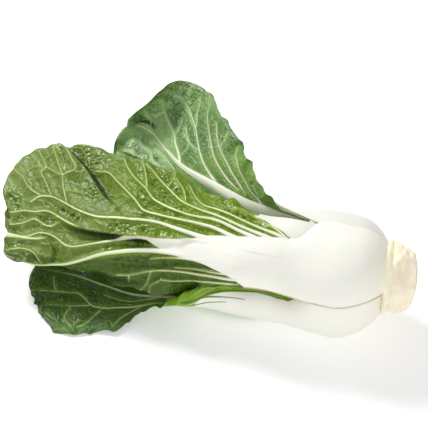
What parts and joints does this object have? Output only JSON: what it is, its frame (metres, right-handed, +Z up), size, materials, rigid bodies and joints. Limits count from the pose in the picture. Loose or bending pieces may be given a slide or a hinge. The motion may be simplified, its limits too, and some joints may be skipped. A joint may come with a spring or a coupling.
{
  "type": "bok choy",
  "caption": "Whole bok choy lying on its side: a trimmed cream root stub, thick white stalks and broad wavy green leaves with raised white veins.",
  "frame": {"origin": "middle of the footprint's bounding box, on the table that the head lies on", "axes": "+X towards the trimmed root end, so the leaf tips point to -X; +Z up; -Y is the side with the low front leaf"},
  "size_m": [0.3216, 0.2115, 0.0871],
  "materials": {
    "root_stub": "dull cream with a freshly cut end",
    "white_stalk": "smooth, waxy and slightly ribbed",
    "light_green_blade": "waxy satin, blistered between raised pale veins",
    "dark_green_blade": "waxy satin, blistered between raised pale veins",
    "green_blade": "waxy satin, blistered between raised pale veins"
  },
  "bodies": {
    "root": {"root_stub": "root_stub", "top_leaf_stalk": "white_stalk", "top_leaf_blade": "light_green_blade", "front_leaf_stalk": "white_stalk", "front_leaf_blade": "dark_green_blade", "back_leaf_stalk": "white_stalk", "back_leaf_blade": "green_blade", "under_leaf_stalk": "white_stalk", "under_leaf_blade": "green_blade", "back_middle_leaf_stalk": "white_stalk", "back_middle_leaf_blade": "dark_green_blade", "top_middle_leaf_stalk": "white_stalk", "top_middle_leaf_blade": "green_blade", "front_middle_leaf_stalk": "white_stalk", "front_middle_leaf_blade": "green_blade", "under_middle_leaf_stalk": "white_stalk", "under_middle_leaf_blade": "green_blade", "heart_leaf_1_stalk": "white_stalk", "heart_leaf_1_blade": "green_blade", "heart_leaf_2_stalk": "white_stalk", "heart_leaf_2_blade": "green_blade", "heart_leaf_3_stalk": "white_stalk", "heart_leaf_3_blade": "green_blade"}
  },
  "joints": []
}
